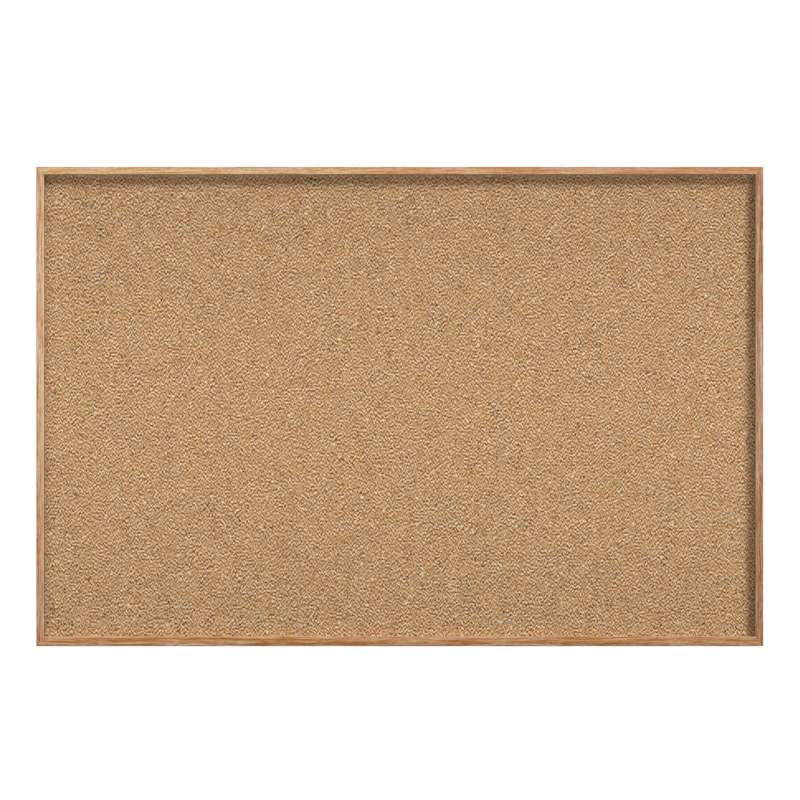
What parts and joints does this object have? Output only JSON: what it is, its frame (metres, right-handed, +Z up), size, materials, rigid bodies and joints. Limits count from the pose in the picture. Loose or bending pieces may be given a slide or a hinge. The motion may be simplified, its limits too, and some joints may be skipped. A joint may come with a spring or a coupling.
{
  "type": "cork bulletin board",
  "caption": "Wide rectangular cork notice board: a natural cork sheet on a fibreboard backer, set back in a narrow mitred oak frame that hangs on D-rings.",
  "frame": {"origin": "centre of the whole board's box, from the oak's front face to the rear ends of the bumpers", "axes": "+X along the board's width, to the right as the reader sees it; +Z up; the cork faces -Y and the wall is on the +Y side"},
  "size_m": [1.829, 0.033, 1.206],
  "materials": {
    "oak": "clear satin varnish on oak",
    "cork": "matt natural granulated cork, tree bark",
    "fibreboard": "matt bare wood-fibre board",
    "plate_steel": "zinc plated",
    "screw_steel": "zinc plated",
    "fastener_steel": "bright drawn steel",
    "strap_steel": "nickel plated",
    "ring_steel": "bright nickel plated wire",
    "rubber": "matt"
  },
  "bodies": {
    "board": {"bottom_rail": "oak", "bumper_bottom_left": "rubber", "bumper_bottom_right": "rubber", "bumper_top_left": "rubber", "bumper_top_right": "rubber", "cork_sheet": "cork", "corner_plate_bottom_left": "plate_steel", "corner_plate_bottom_right": "plate_steel", "corner_plate_screws_bottom_left": "screw_steel", "corner_plate_screws_bottom_right": "screw_steel", "corner_plate_screws_top_left": "screw_steel", "corner_plate_screws_top_right": "screw_steel", "corner_plate_top_left": "plate_steel", "corner_plate_top_right": "plate_steel", "fibreboard_backer": "fibreboard", "left_hanger_screws": "screw_steel", "left_hanger_strap": "strap_steel", "left_stile": "oak", "panel_points_bottom": "fastener_steel", "panel_points_left": "fastener_steel", "panel_points_right": "fastener_steel", "panel_points_top": "fastener_steel", "right_hanger_screws": "screw_steel", "right_hanger_strap": "strap_steel", "right_stile": "oak", "top_rail": "oak", "v_nails_bottom_left": "fastener_steel", "v_nails_bottom_right": "fastener_steel", "v_nails_top_left": "fastener_steel", "v_nails_top_right": "fastener_steel"},
    "left_ring": {"left_hanger_ring": "ring_steel"},
    "right_ring": {"right_hanger_ring": "ring_steel"}
  },
  "joints": [
    {"name": "left_ring_swing", "type": "hinge", "parent": "board", "child": "left_ring", "pos_m": [-0.9069, 0.01247, 0.423], "axis": [1, 0, 0], "range_deg": [0, 174]},
    {"name": "right_ring_swing", "type": "hinge", "parent": "board", "child": "right_ring", "pos_m": [0.9069, 0.01247, 0.423], "axis": [1, 0, 0], "range_deg": [0, 174]}
  ]
}
